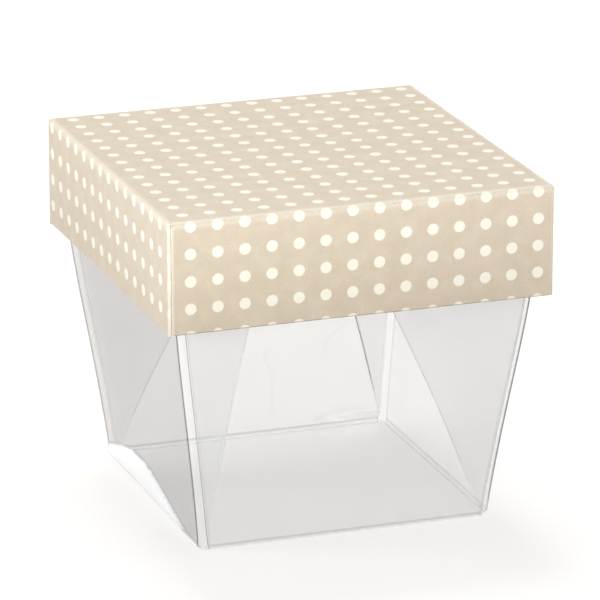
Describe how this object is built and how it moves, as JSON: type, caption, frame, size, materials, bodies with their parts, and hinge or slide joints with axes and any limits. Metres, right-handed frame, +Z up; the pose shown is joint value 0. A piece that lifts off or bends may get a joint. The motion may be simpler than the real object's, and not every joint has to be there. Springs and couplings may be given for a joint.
{
  "type": "favour box with clear base and card lid",
  "caption": "Square gift box: a clear folded film tray that tapers to its floor, with gusseted corners, under a dotted card lid that lifts off.",
  "frame": {"origin": "on the table, below the middle of the tray's floor", "axes": "+Z up, along which the lid lifts off; -Y is the front; +X is to the right seen from the front"},
  "size_m": [0.09, 0.09, 0.08],
  "materials": {
    "clear_film": "clear glossy film, crisp scored creases",
    "printed_card": "satin printed card, beige with cream polka dots, pale worn folds"
  },
  "bodies": {
    "tray": {"base_floor": "clear_film", "base_front_wall": "clear_film", "base_right_wall": "clear_film", "base_back_wall": "clear_film", "base_left_wall": "clear_film", "base_front_left_gusset": "clear_film", "base_front_right_gusset": "clear_film", "base_back_right_gusset": "clear_film", "base_back_left_gusset": "clear_film"},
    "lid": {"lid_top": "printed_card", "lid_front_side": "printed_card", "lid_right_side": "printed_card", "lid_back_side": "printed_card", "lid_left_side": "printed_card", "lid_front_left_gusset": "printed_card", "lid_front_right_gusset": "printed_card", "lid_back_right_gusset": "printed_card", "lid_back_left_gusset": "printed_card"}
  },
  "joints": [
    {"name": "lid_lift", "type": "slide", "parent": "tray", "child": "lid", "axis": [0, 0, 1], "range_m": [0, 0.045]}
  ]
}
